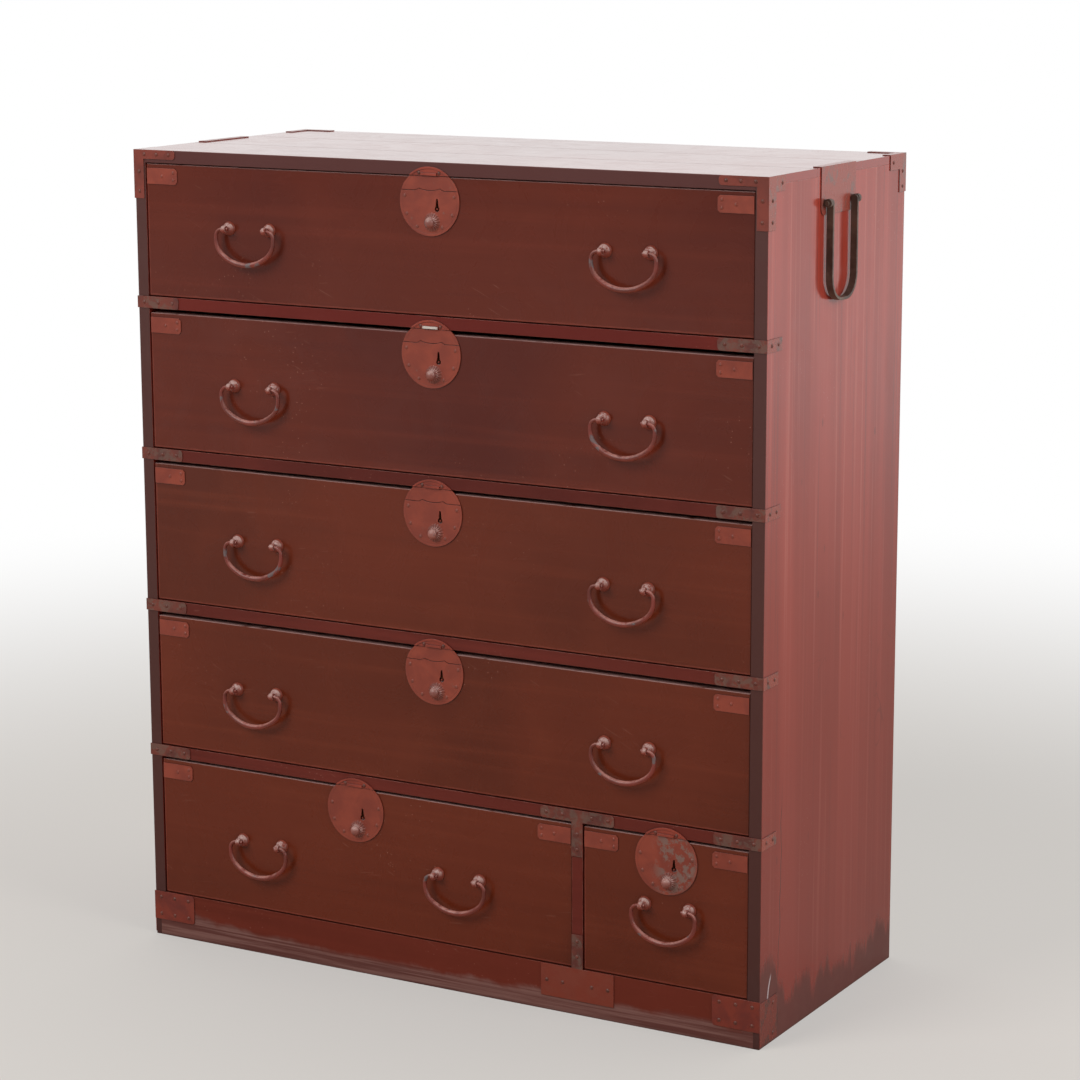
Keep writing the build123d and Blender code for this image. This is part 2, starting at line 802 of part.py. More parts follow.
def knob_rosette(lock_x, centre_z):
    """The fluted washer that the lock's knob stands on."""
    rosette = turned(dome_profile(knob_rosette_radius, knob_rosette_height))
    bulge = dome_radius(knob_rosette_radius, knob_rosette_height)
    middle = knob_rosette_radius * 3 / 4
    slope = math.asin(middle / bulge)
    rise = bulge * math.cos(slope) - bulge + knob_rosette_height
    flute = Rot(0, 90, 0) * Cylinder(flute_radius, knob_rosette_radius)
    flute = Pos(middle, -rise - flute_radius / 2, 0) * Rot(0, 0, math.degrees(slope)) * flute
    for index in range(knob_flutes):
        rosette -= Rot(0, index * 360 / knob_flutes, 0) * flute
    x = lock_x + knob_shift
    z = centre_z - knob_drop
    placed = Pos(x, front_face - lock_plate_thickness, z) * rosette
    return placed - stem_hole(lock_x, centre_z)


def slant_top(centre_z):
    """The height at which the bolt's slant starts."""
    return centre_z - knob_drop + knob_stem_radius + slant_margin


def wedge_y(centre_z, z):
    """The bolt's slanted face: its place in Y at a height z."""
    return bolt_span()[0] + (slant_top(centre_z) - z) * knob_travel / bolt_travel


def lock_knob(lock_x, centre_z):
    """The push knob: a mushroom head on a stem whose end is cut to the bolt's slant."""
    x = lock_x + knob_shift
    z = centre_z - knob_drop
    back = front_face - lock_plate_thickness - knob_rosette_height - knob_room
    tip = wedge_y(centre_z, z - 2 * knob_stem_radius)
    stem = rod_y(x, z, back, tip, knob_stem_radius)
    low = z - 2 * knob_stem_radius
    high = z + 2 * knob_stem_radius
    reach = 2 * knob_stem_radius
    far = tip + reach
    slant = Polyline((wedge_y(centre_z, low) - wedge_gap, low),
                     (wedge_y(centre_z, high) - wedge_gap, high), (far, high), (far, low),
                     close=True)
    cutter = extrude(Plane.YZ * make_face(slant), amount=reach, both=True)
    stem -= Pos(x, 0, 0) * cutter
    rim = (knob_radius, knob_rim_height)
    bulge = dome_radius(knob_radius, knob_height - knob_rim_height)
    head = make_face(Wire([Line((0, 0), (knob_neck_radius, 0)),
                           Line((knob_neck_radius, 0), rim),
                           RadiusArc(rim, (0, knob_height), -bulge),
                           Line((0, knob_height), (0, 0))]))
    return stem + Pos(x, back, z) * turned(head)


def lock_bolt(lock_x, rail_foot, centre_z):
    """The bolt behind the drawer front, with its foot cut to the knob's slant."""
    x = lock_x + knob_shift
    half = bolt_width / 2
    y0, y1 = bolt_span()
    z0 = bolt_foot(centre_z)
    z1 = rail_foot - bolt_head_gap
    side = Polyline((y0, z1), (y1, z1), (y1, z0), (wedge_y(centre_z, z0), z0),
                    (y0, slant_top(centre_z)), close=True)
    return Pos(x, 0, 0) * extrude(Plane.YZ * make_face(side), amount=half, both=True)


def bolt_foot(centre_z):
    """The lowest point of a bolt."""
    return centre_z - knob_drop - knob_stem_radius - bolt_travel - bolt_foot_margin


def lock_cover(lock_x, centre_z, front_top):
    """The plate that closes the lock's mortise inside the drawer."""
    x = lock_x + knob_shift
    half = cover_width / 2
    return slab(x - half, x + half, front_back, front_back + cover_thickness,
                bolt_foot(centre_z) - cover_margin, front_top - cover_margin / 2)


# ---------------------------------------------------------------- a drawer
def drawer_front(row, left, right, lock_x, box_foot, box_top):
    """The front board, rebated behind for the box and hollowed for the lock."""
    rail_foot = ceilings[row]
    centre_z = rail_foot + lock_rise - lock_radius
    lap = front_back - box_lap
    box_floor = box_foot + box_bottom_thickness
    left_inside = left + box_side_gap + box_side_thickness
    right_inside = right - box_side_gap - box_side_thickness
    front = slab(left + front_side_gap, right - front_side_gap, front_face, front_back,
                 floors[row] + front_foot_gap, rail_foot - head_gaps[row])
    front = fillet(front.faces().sort_by(Axis.Y)[0].edges(), front_round)
    front -= slab(left, right, lap, front_back, floors[row], box_floor)
    front -= slab(left, left_inside, lap, front_back, box_floor, box_top)
    front -= slab(right_inside, right, lap, front_back, box_floor, box_top)
    half = bolt_width / 2 + bolt_play
    x = lock_x + knob_shift
    front -= slab(x - half, x + half, front_back - mortise_depth, front_back,
                  bolt_foot(centre_z) - bolt_play, rail_foot)
    return front - stem_hole(lock_x, centre_z) - keyhole(lock_x, centre_z)


def drawer_box(left, right, box_foot, box_top):
    """The bottom, the two sides and the back of the box."""
    x0 = left + box_side_gap
    x1 = right - box_side_gap
    y0 = front_back - box_lap
    y1 = inner_back - box_rear_gap
    z = box_foot + box_bottom_thickness
    return [slab(x0, x1, y0, y1, box_foot, z),
            slab(x0, x0 + box_side_thickness, y0, y1, z, box_top),
            slab(x1 - box_side_thickness, x1, y0, y1, z, box_top),
            slab(x0 + box_side_thickness, x1 - box_side_thickness,
                 y1 - box_back_thickness, y1, z, box_top)]


def lock_irons(row, lock_x, banded):
    """Everything of a lock that is fixed to the drawer."""
    rail_foot = ceilings[row]
    centre_z = rail_foot + lock_rise - lock_radius
    face = front_face - lock_plate_thickness
    irons = lock_plates(lock_x, rail_foot, banded)
    irons.append(knob_rosette(lock_x, centre_z))
    irons.append(rod_y(lock_x + keyhole_shift, centre_z - keyhole_drop, face,
                       front_face + keyhole_depth, key_pin_radius))
    irons.append(lock_cover(lock_x, centre_z, rail_foot - head_gaps[row]))
    reach = lock_radius - lock_nail_inset
    for angle in lock_nail_angles:
        for side in (-1, 1):
            nail_x = lock_x + side * reach * math.cos(math.radians(angle))
            nail_z = centre_z + reach * math.sin(math.radians(angle))
            irons.append(nail_front(nail_x, nail_z, face))
    return irons


def drawer_corner(side, end, plate_top):
    """The plate at one end of a drawer front, with its nails."""
    outer = end - side * front_round
    inner = outer - side * drawer_plate_length
    foot = plate_top - drawer_plate_height
    face = front_face - plate_thickness
    body = slab(inner, outer, face, front_face, foot, plate_top)
    inner_edges = [edge for edge in body.edges().filter_by(Axis.Y)
                   if abs(edge.center().X - inner) < drawer_plate_chamfer / 10]
    irons = [chamfer(inner_edges, drawer_plate_chamfer)]
    for along, up in drawer_plate_nails:
        irons.append(nail_front(outer - side * drawer_plate_length * along,
                                foot + drawer_plate_height * up, face))
    return irons


def drawer(name, row, left, right, lock_x, pull_xs, hinge_height, banded):
    """Write the pieces of one drawer, with its lock and its pulls."""
    rail_foot = ceilings[row]
    front_top = rail_foot - head_gaps[row]
    centre_z = rail_foot + lock_rise - lock_radius
    box_foot = floors[row] + runner_gap
    box_top = front_top - box_top_drop
    hinge_z = floors[row] + hinge_height
    save(f"{name}_front", [drawer_front(row, left, right, lock_x, box_foot, box_top)])
    save(f"{name}_box", drawer_box(left, right, box_foot, box_top))

    irons = lock_irons(row, lock_x, banded)
    irons += drawer_corner(-1, left + front_side_gap, front_top - drawer_plate_drop)
    irons += drawer_corner(1, right - front_side_gap, front_top - drawer_plate_drop)
    for pull_x in pull_xs:
        for side in (-1, 1):
            irons.append(pull_post(pull_x + side * post_spacing / 2, hinge_z))
    save(f"{name}_irons", irons)

    save(f"{name}_lock_knob", [lock_knob(lock_x, centre_z)])
    save(f"{name}_lock_bolt", [lock_bolt(lock_x, rail_foot, centre_z)])
    endings = ["_left", "_right"] if len(pull_xs) == 2 else [""]
    for pull_x, ending in zip(pull_xs, endings):
        save(f"{name}_pull{ending}", [placed_bail(pull_x, hinge_z)])


# ---------------------------------------------------------------- the whole chest
bail_shape = bail()


def main():
    os.makedirs("parts", exist_ok=True)
    save("left_side", [side_board(-1)])
    save("right_side", [side_board(1)])
    save("top_panel", top_panel())
    save("bottom_panel", [bottom_panel()])
    save("back_panel", back_panel())
    save("base_rail", [base_rail()])
    save("front_rails", front_rails())
    save("divider", divider())
    save("drawer_runners", drawer_runners())
    save("corner_plates", [front_corner(-1), front_corner(1), rear_corner(-1), rear_corner(1)])
    save("rail_straps", rail_straps() + tee_plates())
    save("base_plates", base_plates())
    save("striker_plates", [striker(row, lock_x) for row, lock_x in zip(lock_rows, locks)])
    save("case_nails", case_nails())
    save("carry_plates", [saddle(-1), saddle(1)])
    save("carry_posts", [carry_post(side, end) for side in (-1, 1) for end in (-1, 1)])
    save("carry_handle_left", [carry_handle(-1)])
    save("carry_handle_right", [carry_handle(1)])
    for row in range(rows - 1):
        drawer(f"drawer_{row + 1}", row, -inner_half, inner_half, locks[row], wide_pulls[row],
               pull_heights[row], True)
    drawer("drawer_5", rows - 1, -inner_half, divider_left, locks[4], medium_pulls,
           pull_heights[-1], False)
    drawer("drawer_6", rows - 1, divider_right, inner_half, locks[5], small_pulls,
           small_pull_height, False)


main()
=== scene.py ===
import bpy
import math
from mathutils import Matrix, Vector

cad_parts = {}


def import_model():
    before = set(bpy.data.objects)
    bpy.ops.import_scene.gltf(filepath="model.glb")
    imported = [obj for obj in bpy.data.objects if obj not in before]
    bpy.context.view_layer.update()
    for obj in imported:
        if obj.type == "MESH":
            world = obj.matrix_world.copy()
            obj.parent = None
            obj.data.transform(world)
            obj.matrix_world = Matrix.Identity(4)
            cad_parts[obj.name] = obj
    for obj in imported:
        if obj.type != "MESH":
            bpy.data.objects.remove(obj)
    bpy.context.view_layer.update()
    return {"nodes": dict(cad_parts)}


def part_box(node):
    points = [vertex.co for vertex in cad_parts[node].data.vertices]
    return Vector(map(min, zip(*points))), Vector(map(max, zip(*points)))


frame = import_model()
nodes = frame["nodes"]

MM = 0.001

# Places that the colours follow, in metres, taken from the frame's own nodes.
FRONT_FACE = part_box("drawer_1_front")[0].y
SIDE_LOW, SIDE_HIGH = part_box("right_side")
CASE_FRONT = SIDE_LOW.y
CASE_MIDDLE = (SIDE_LOW.y + SIDE_HIGH.y) / 2


def tone(code):
    """A linear colour from a screen colour such as "#7a382c"."""
    parts = [int(code[i:i + 2], 16) / 255 for i in (1, 3, 5)]
    linear = [v / 12.92 if v <= 0.04045 else ((v + 0.055) / 1.055) ** 2.4 for v in parts]
    return (*linear, 1.0)


class Shade:
    """One material, built node by node around a Principled shader."""

    def __init__(self, name, spec=0.5, coat=0.0, coat_rough=0.1):
        self.mat = bpy.data.materials.new(name)
        self.mat.use_nodes = True
        self.tree = self.mat.node_tree
        self.tree.nodes.clear()
        out = self.node("OutputMaterial")
        self.bsdf = self.node("BsdfPrincipled")
        self.tree.links.new(self.bsdf.outputs["BSDF"], out.inputs["Surface"])
        self.bsdf.inputs["Specular IOR Level"].default_value = spec
        self.bsdf.inputs["Coat Weight"].default_value = coat
        self.bsdf.inputs["Coat Roughness"].default_value = coat_rough
        self.place = self.node("TexCoord").outputs["Object"]
        split = self.node("SeparateXYZ")
        self.put(split.inputs[0], self.place)
        self.x, self.y, self.z = split.outputs

    def node(self, kind):
        return self.tree.nodes.new("ShaderNode" + kind)

    def put(self, socket, value):
        """Link a socket to a node's output, or set it to a value."""
        if hasattr(value, "is_linked"):
            self.tree.links.new(value, socket)
        else:
            socket.default_value = value

    def tilted(self, about, angle):
        """The place, turned about an axis, for marks that run askew."""
        mapping = self.node("Mapping")
        self.put(mapping.inputs["Vector"], self.place)
        mapping.inputs["Rotation"].default_value["xyz".index(about)] = angle
        return mapping.outputs[0]

    def spread(self, sx, sy, sz, shift=0.0, where=None):
        """The place, stretched: a small factor draws a pattern out along that axis."""
        mapping = self.node("Mapping")
        self.put(mapping.inputs["Vector"], where or self.place)
        mapping.inputs["Scale"].default_value = (sx, sy, sz)
        mapping.inputs["Location"].default_value = (shift, shift * 0.7, shift * 1.3)
        return mapping.outputs[0]

    def moved(self, shift):
        """The place, moved, so that two patterns of one scale differ."""
        return self.spread(1, 1, 1, shift)

    def noise(self, scale, detail=4.0, rough=0.55, bend=0.0, where=None):
        tex = self.node("TexNoise")
        self.put(tex.inputs["Vector"], where or self.place)
        tex.inputs["Scale"].default_value = scale
        tex.inputs["Detail"].default_value = detail
        tex.inputs["Roughness"].default_value = rough
        tex.inputs["Distortion"].default_value = bend
        return tex.outputs["Fac"]

    def cells(self, scale, where=None):
        tex = self.node("TexVoronoi")
        self.put(tex.inputs["Vector"], where or self.place)
        tex.inputs["Scale"].default_value = scale
        return tex.outputs["Distance"]

    def span(self, value, low, high, start=0.0, end=1.0):
        """Map low..high smoothly to start..end."""
        mapped = self.node("MapRange")
        mapped.interpolation_type = "SMOOTHSTEP"
        self.put(mapped.inputs["Value"], value)
        mapped.inputs["From Min"].default_value = low
        mapped.inputs["From Max"].default_value = high
        mapped.inputs["To Min"].default_value = start
        mapped.inputs["To Max"].default_value = end
        return mapped.outputs["Result"]

    def calc(self, op, a, b=0.0, clamp=False):
        math_node = self.node("Math")
        math_node.operation = op
        math_node.use_clamp = clamp
        self.put(math_node.inputs[0], a)
        self.put(math_node.inputs[1], b)
        return math_node.outputs[0]

    def times(self, first, *others):
        result = first
        for factor in others:
            result = self.calc("MULTIPLY", result, factor)
        return result

    def plus(self, a, b):
        return self.calc("ADD", a, b)

    def minus(self, a, b):
        return self.calc("SUBTRACT", a, b)

    def either(self, a, b):
        """The higher of two masks."""
        return self.calc("MAXIMUM", a, b)

    def blend(self, mask, under, over):
        """The colour under, with over laid on it where the mask is 1."""
        mixer = self.node("Mix")
        mixer.data_type = "RGBA"
        self.put(mixer.inputs["Factor"], mask)
        self.put(mixer.inputs[6], under)
        self.put(mixer.inputs[7], over)
        return mixer.outputs[2]

    def tint(self, under, over, mask, strength):
        """The colour under, with over laid on it in the mask, at a strength from 0 to 1."""
        return self.blend(self.times(mask, strength), under, over)

    def edges(self, radius, wide=0.12):
        """1 along sharp edges, 0 elsewhere."""
        bevel = self.node("Bevel")
        bevel.samples = 6
        bevel.inputs["Radius"].default_value = radius
        geometry = self.node("NewGeometry")
        dot = self.node("VectorMath")
        dot.operation = "DOT_PRODUCT"
        self.put(dot.inputs[0], bevel.outputs[0])
        self.put(dot.inputs[1], geometry.outputs["Normal"])
        return self.span(dot.outputs["Value"], 1.0 - 0.004, 1.0 - wide), bevel.outputs[0]

    def facing(self, axis, sign, low=0.5, high=0.8):
        """1 where the surface faces along an axis."""
        geometry = self.node("NewGeometry")
        split = self.node("SeparateXYZ")
        self.put(split.inputs[0], geometry.outputs["Normal"])
        return self.span(self.calc("MULTIPLY", split.outputs[axis], sign), low, high)

    def corner_shade(self, distance):
        """Painted shade: 1 in corners and against fittings, where ambient occlusion finds them hidden."""
        hidden = self.node("AmbientOcclusion")
        hidden.samples = 6
        hidden.inputs["Distance"].default_value = distance
        return self.span(hidden.outputs["AO"], 0.95, 0.35)

    def line(self, value, at, half):
        """1 where a value crosses a level, as a thin line."""
        away = self.calc("ABSOLUTE", self.calc("SUBTRACT", value, at))
        return self.span(away, half, half * 0.3)

    def bump(self, height, strength, distance, normal=None):
        node = self.node("Bump")
        node.inputs["Strength"].default_value = strength
        node.inputs["Distance"].default_value = distance
        self.put(node.inputs["Height"], height)
        if normal is not None:
            self.put(node.inputs["Normal"], normal)
        return node.outputs[0]

    def finish(self, color, rough, normal=None):
        self.put(self.bsdf.inputs["Base Color"], color)
        self.put(self.bsdf.inputs["Roughness"], rough)
        if normal is not None:
            self.put(self.bsdf.inputs["Normal"], normal)
        return self.mat


def give(node_names, material):
    """Put one material on the only slot of each named node."""
    for name in node_names:
        slots = nodes[name].data.materials
        slots.clear()
        slots.append(material)


# ---------------------------------------------------------------- lacquer
GRAIN = {"x": (1.2, 55, 55), "y": (55, 1.2, 55), "z": (55, 55, 1.2)}
FINE = {"x": (4, 420, 420), "y": (420, 4, 420), "z": (420, 420, 4)}
SCRATCH = {"x": (28, 620, 620), "y": (620, 28, 620), "z": (620, 620, 28)}
SCRATCH_ANGLES = (0.12, -0.45)

# Damage on the side boards: how far behind their front edge, and how high.
CRACK_BACK, CRACK_HALF = 67 * MM, 1.0 * MM
CRACK_TOP, CRACK_FADE = 330 * MM, 70 * MM
CHIP_BACK, CHIP_HALF = 26 * MM, 2.2 * MM
CHIP_FOOT, CHIP_TOP = 48 * MM, 88 * MM
# The side boards are darker towards the floor, between these heights: painted shade that stands in for
# the dimmer reflection low on the sides.
DARK_FROM, DARK_TO = 900 * MM, 50 * MM
# The rail above this height is redder, and the base rail below its line is bare.
RED_RAIL_HEIGHT = 800 * MM
BARE_FOOT_HEIGHT = 50 * MM
# The fronts of the upper two drawers are a cooler red than those below.
FIRST_WARM_DRAWER = 3


def scratches(shade, grain, shift):
    """Short straight scratches, in two directions that lie near the grain."""
    about = "x" if grain == "z" else ("z" if grain == "y" else "y")
    marks = []
    for angle in SCRATCH_ANGLES:
        turned = shade.tilted(about, angle)
        field = shade.noise(1, 0, 0, 0, shade.spread(*SCRATCH[grain], shift + angle, turned))
        marks.append(shade.span(field, 0.80, 0.84))
    where = shade.span(shade.noise(6, 2, 0.5, 0, shade.moved(shift + 17)), 0.52, 0.64)
    return shade.times(shade.either(*marks), where)


def old_lacquer(shade, grain, deep, body, glow, edge, shift=0.0, nicks=0.6, cloudy=0.2, streaky=0.35):
    """Colour, roughness and normal of worn lacquer over a board with its grain along an axis."""
    wide = shade.noise(2.2, 2, 0.5, 0.3, shade.moved(shift))
    cloud = shade.noise(11, 5, 0.6, 0.4, shade.moved(shift + 3))
    streak = shade.noise(1, 4, 0.6, 0.3, shade.spread(*GRAIN[grain], shift))
    fibre = shade.noise(1, 3, 0.6, 0.0, shade.spread(*FINE[grain], shift))
    color = shade.blend(shade.span(wide, 0.3, 0.62), deep, body)
    color = shade.tint(color, glow, shade.span(cloud, 0.45, 0.75), cloudy)
    color = shade.tint(color, glow, shade.span(streak, 0.5, 0.74), streaky)
    color = shade.tint(color, deep, shade.span(streak, 0.48, 0.26), streaky)
    color = shade.tint(color, deep, shade.span(fibre, 0.52, 0.78), 0.22)
    scuff = scratches(shade, grain, shift)
    color = shade.tint(color, edge, scuff, 0.25)
    chip_where = shade.span(shade.noise(6, 2, 0.5, 0, shade.moved(shift + 23)), 0.54, 0.68)
    chip = shade.times(shade.span(shade.cells(150, shade.moved(shift)), 0.12, 0.07), chip_where)
    color = shade.tint(color, edge, chip, nicks)
    rim, soft = shade.edges(1.0 * MM)
    rim_wear = shade.span(shade.noise(60, 4, 0.7, 0, shade.moved(shift + 5)), 0.38, 0.62)
    color = shade.blend(shade.times(rim, rim_wear), color, edge)
    smudge = shade.noise(14, 5, 0.65, 1.2, shade.moved(shift + 31))
    height = shade.plus(shade.times(streak, 0.6), shade.times(fibre, 0.25))
    height = shade.minus(height, shade.times(shade.plus(scuff, chip), 0.4))
    return color, smudge, height, soft


def side_streaks(shade, color):
    """Broad bands, fine threads, specks and curled marks along the side boards, and painted shade that
    darkens them towards the floor.
    """
    band = shade.noise(1, 3, 0.5, 0.0, shade.spread(11, 11, 0.4, 4))
    color = shade.tint(color, tone("#b3483b"), shade.span(band, 0.5, 0.62), 0.5)
    color = shade.tint(color, tone("#7c2c22"), shade.span(band, 0.45, 0.33), 0.45)
    thread = shade.noise(1, 2, 0.5, 0.0, shade.spread(170, 170, 1.6, 8))
    color = shade.tint(color, tone("#bf6a5c"), shade.span(thread, 0.56, 0.72), 0.4)
    color = shade.tint(color, tone("#67332c"), shade.span(thread, 0.42, 0.28), 0.4)
    speck_field = shade.cells(48, shade.spread(1, 1, 0.3, 6))
    speck_where = shade.span(shade.noise(5, 3, 0.6, 0, shade.moved(19)), 0.5, 0.62)
    speck = shade.times(shade.span(speck_field, 0.1, 0.05), speck_where)
    color = shade.tint(color, tone("#4a221d"), speck, 0.55)
    curl = shade.line(shade.noise(15, 2, 0.5, 1.4, shade.spread(1, 1, 0.5, 27)), 0.5, 0.007)
    curl_where = shade.span(shade.noise(4.5, 2, 0.5, 0, shade.moved(37)), 0.6, 0.68)
    color = shade.tint(color, tone("#55271f"), shade.times(curl, curl_where), 0.45)
    # Painted shade: darker red towards the floor, standing in for the dimmer reflection there.
    below = shade.span(shade.z, DARK_FROM, DARK_TO)
    return shade.tint(color, tone("#74190f"), below, 0.72)


def side_damage(shade, color):
    """The worn foot of the side boards, with a long crack and a bare chip near the front."""
    near_front = shade.span(shade.y, CASE_FRONT + 75 * MM, CASE_FRONT + 20 * MM)
    tongues = shade.noise(1, 4, 0.6, 0.2, shade.spread(38, 38, 5, 2))
    level = shade.plus(shade.times(tongues, 0.13), shade.times(near_front, 0.05))
    low = shade.span(shade.minus(shade.z, level), -8 * MM, -30 * MM)
    color = shade.tint(color, tone("#4b2621"), low, 0.7)
    crack_path = shade.plus(shade.y, shade.times(shade.noise(6, 3, 0.6, 0), 30 * MM))
    crack = shade.times(shade.line(crack_path, CASE_FRONT + CRACK_BACK, CRACK_HALF),
                        shade.span(shade.z, CRACK_TOP, CRACK_TOP - CRACK_FADE),
                        shade.span(shade.z, 0.0, 20 * MM))
    color = shade.tint(color, tone("#3a1310"), crack, 0.75)
    chip_path = shade.minus(crack_path, shade.times(shade.z, 0.25))
    chip = shade.times(shade.line(chip_path, CASE_FRONT + CHIP_BACK, CHIP_HALF),
                       shade.span(shade.z, CHIP_TOP, CHIP_TOP - 10 * MM),
                       shade.span(shade.z, CHIP_FOOT, CHIP_FOOT + 8 * MM))
    return shade.blend(chip, color, tone("#b6a9ac")), low


def side_lacquer():
    """The sides: painted shade makes them darker red towards the floor than above; worn brown along the
    floor, dark on their front edges, with painted shade in corners.
    """
    shade = Shade("side_lacquer", spec=0.5, coat=0.14, coat_rough=0.05)
    color, smudge, height, soft = old_lacquer(shade, "z", tone("#8a2c20"), tone("#983628"),
                                              tone("#b04a3c"), tone("#c08a7e"), cloudy=0.12)
    color = side_streaks(shade, color)
    front = shade.facing(1, -1)
    color = shade.tint(color, tone("#43150a"), front, 0.95)
    color, low = side_damage(shade, color)
    # Painted shade in corners and against the fittings.
    color = shade.tint(color, tone("#3c1512"), shade.corner_shade(6 * MM), 0.55)
    rough = shade.plus(shade.span(smudge, 0.3, 0.7, 0.13, 0.25), shade.times(front, 0.4))
    rough = shade.plus(rough, shade.times(low, 0.3))
    return shade.finish(color, rough, shade.bump(height, 0.12, 0.3 * MM, soft))


def top_lacquer():
    """The top: the smoothest face, with a dark front edge and red ends."""
    shade = Shade("top_lacquer", spec=0.5, coat=0.3, coat_rough=0.05)
    color, smudge, height, soft = old_lacquer(shade, "x", tone("#8a3d34"), tone("#984a40"),
                                              tone("#b0665a"), tone("#c39a8c"), shift=7, cloudy=0.1)
    front = shade.facing(1, -1)
    color = shade.tint(color, tone("#4c130b"), front, 0.95)
    sideways = shade.either(shade.facing(0, 1), shade.facing(0, -1))
    color = shade.tint(color, tone("#962f22"), sideways, 0.9)
    # Painted shade in corners and against the fittings.
    color = shade.tint(color, tone("#35120f"), shade.corner_shade(5 * MM), 0.5)
    rough = shade.plus(shade.span(smudge, 0.3, 0.7, 0.1, 0.17), shade.times(front, 0.45))
    return shade.finish(color, rough, shade.bump(height, 0.1, 0.3 * MM, soft))


def bare_foot(shade, color, smudge):
    """The base rail's dull paint, worn to bare wood below a wavy line."""
    color = shade.blend(0.4, color, tone("#7c3826"))
    wave = shade.times(shade.noise(1, 5, 0.65, 0.6, shade.spread(7, 7, 7, 2)), 40 * MM)
    corner = shade.times(shade.span(shade.x, -0.33, -0.42), 12 * MM)
    level = shade.minus(shade.plus(shade.z, wave), corner)
    bare = shade.span(level, BARE_FOOT_HEIGHT, BARE_FOOT_HEIGHT - 10 * MM)
    grain = shade.noise(1, 5, 0.7, 0.2, shade.spread(4, 220, 220, 5))
    bare_color = shade.blend(shade.span(grain, 0.38, 0.62), tone("#643d38"), tone("#8a645d"))
    color = shade.tint(color, bare_color, bare, 0.85)
    return color, shade.plus(smudge, shade.times(bare, 0.5))


def rail_lacquer(name, shift, worn_foot):
    """The frame's rails and post. The base rail has a worn foot."""
    shade = Shade(name, spec=0.15 if worn_foot else 0.22, coat=0.0 if worn_foot else 0.06, coat_rough=0.2)
    color, smudge, height, soft = old_lacquer(shade, "x", tone("#591a11"), tone("#69241a"),
                                              tone("#813126"), tone("#a3685c"), shift, nicks=0.8)
    red = shade.span(shade.z, RED_RAIL_HEIGHT, RED_RAIL_HEIGHT + 30 * MM)
    color = shade.tint(color, tone("#7c1b12"), red, 0.35)
    if worn_foot:
        color, smudge = bare_foot(shade, color, smudge)
    # Painted shade in corners and against the fittings.
    color = shade.tint(color, tone("#2a0f0d"), shade.corner_shade(6 * MM), 0.6)
    smooth, dull = (0.5, 0.72) if worn_foot else (0.32, 0.6)
    rough = shade.span(smudge, 0.3, 0.9, smooth, dull)
    return shade.finish(color, rough, shade.bump(height, 0.25, 0.4 * MM, soft))


def front_lacquer(number):
    """The lacquer of one drawer front, over bare wood behind."""
    warm = number >= FIRST_WARM_DRAWER
    deep = tone("#5e2412") if warm else tone("#571f15")
    body = tone("#6d2b17") if warm else tone("#662717")
    glow = tone("#7f3822") if warm else tone("#773121")
    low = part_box(f"drawer_{number}_front")[0]
    shade = Shade(f"front_lacquer_{number}", spec=0.22, coat=0.08, coat_rough=0.12)
    color, smudge, height, soft = old_lacquer(shade, "x", deep, body, glow, tone("#a8705f"),
                                              shift=number * 13.7, nicks=0.8)
    fray = shade.times(shade.noise(70, 5, 0.7, 0, shade.moved(number)), 4 * MM)
    foot = shade.span(shade.minus(shade.z, fray), low.z + 1.2 * MM, low.z - 0.2 * MM)
    end = shade.span(shade.minus(shade.x, fray), low.x + 0.8 * MM, low.x - 0.6 * MM)
    worn_edge = shade.times(shade.either(foot, end), 0.35)
    color = shade.blend(worn_edge, color, tone("#9c4a3c"))
    # Partly real dust and partly a painted highlight: pale patches on the upward faces.
    dust_and_sheen = shade.times(shade.facing(2, 1), shade.span(shade.noise(40, 4, 0.6, 0), 0.25, 0.45))
    color = shade.tint(color, tone("#c39a94"), dust_and_sheen, 0.9)
    # Painted shade on the upward faces, where they are hidden in corners.
    corner_shade = shade.times(shade.corner_shade(7 * MM), shade.facing(2, 1, 0.8, 0.5))
    color = shade.tint(color, tone("#240e0b"), corner_shade, 0.55)
    bare = shade.span(shade.y, FRONT_FACE + 2.5 * MM, FRONT_FACE + 4 * MM)
    wood = wood_color(shade, "x", 2.0)
    color = shade.blend(shade.times(bare, shade.facing(2, 1, 0.8, 0.5)), color, wood)
    rough = shade.plus(shade.span(smudge, 0.3, 0.7, 0.2, 0.36), shade.times(bare, 0.4))
    return shade.finish(color, rough, shade.bump(height, 0.16, 0.4 * MM, soft))


# ---------------------------------------------------------------- bare wood
def wood_color(shade, grain, shift, dark="#7a5538", pale="#b58d62"):
    """Two browns in streaks along the grain."""
    rings = shade.noise(1, 5, 0.6, 1.5, shade.spread(*[v * 0.6 for v in GRAIN[grain]], shift))
    fibre = shade.noise(1, 3, 0.6, 0, shade.spread(*FINE[grain], shift))
    color = shade.blend(shade.span(rings, 0.3, 0.7), tone(dark), tone(pale))
    return shade.tint(color, tone(dark), shade.span(fibre, 0.5, 0.8), 0.35)


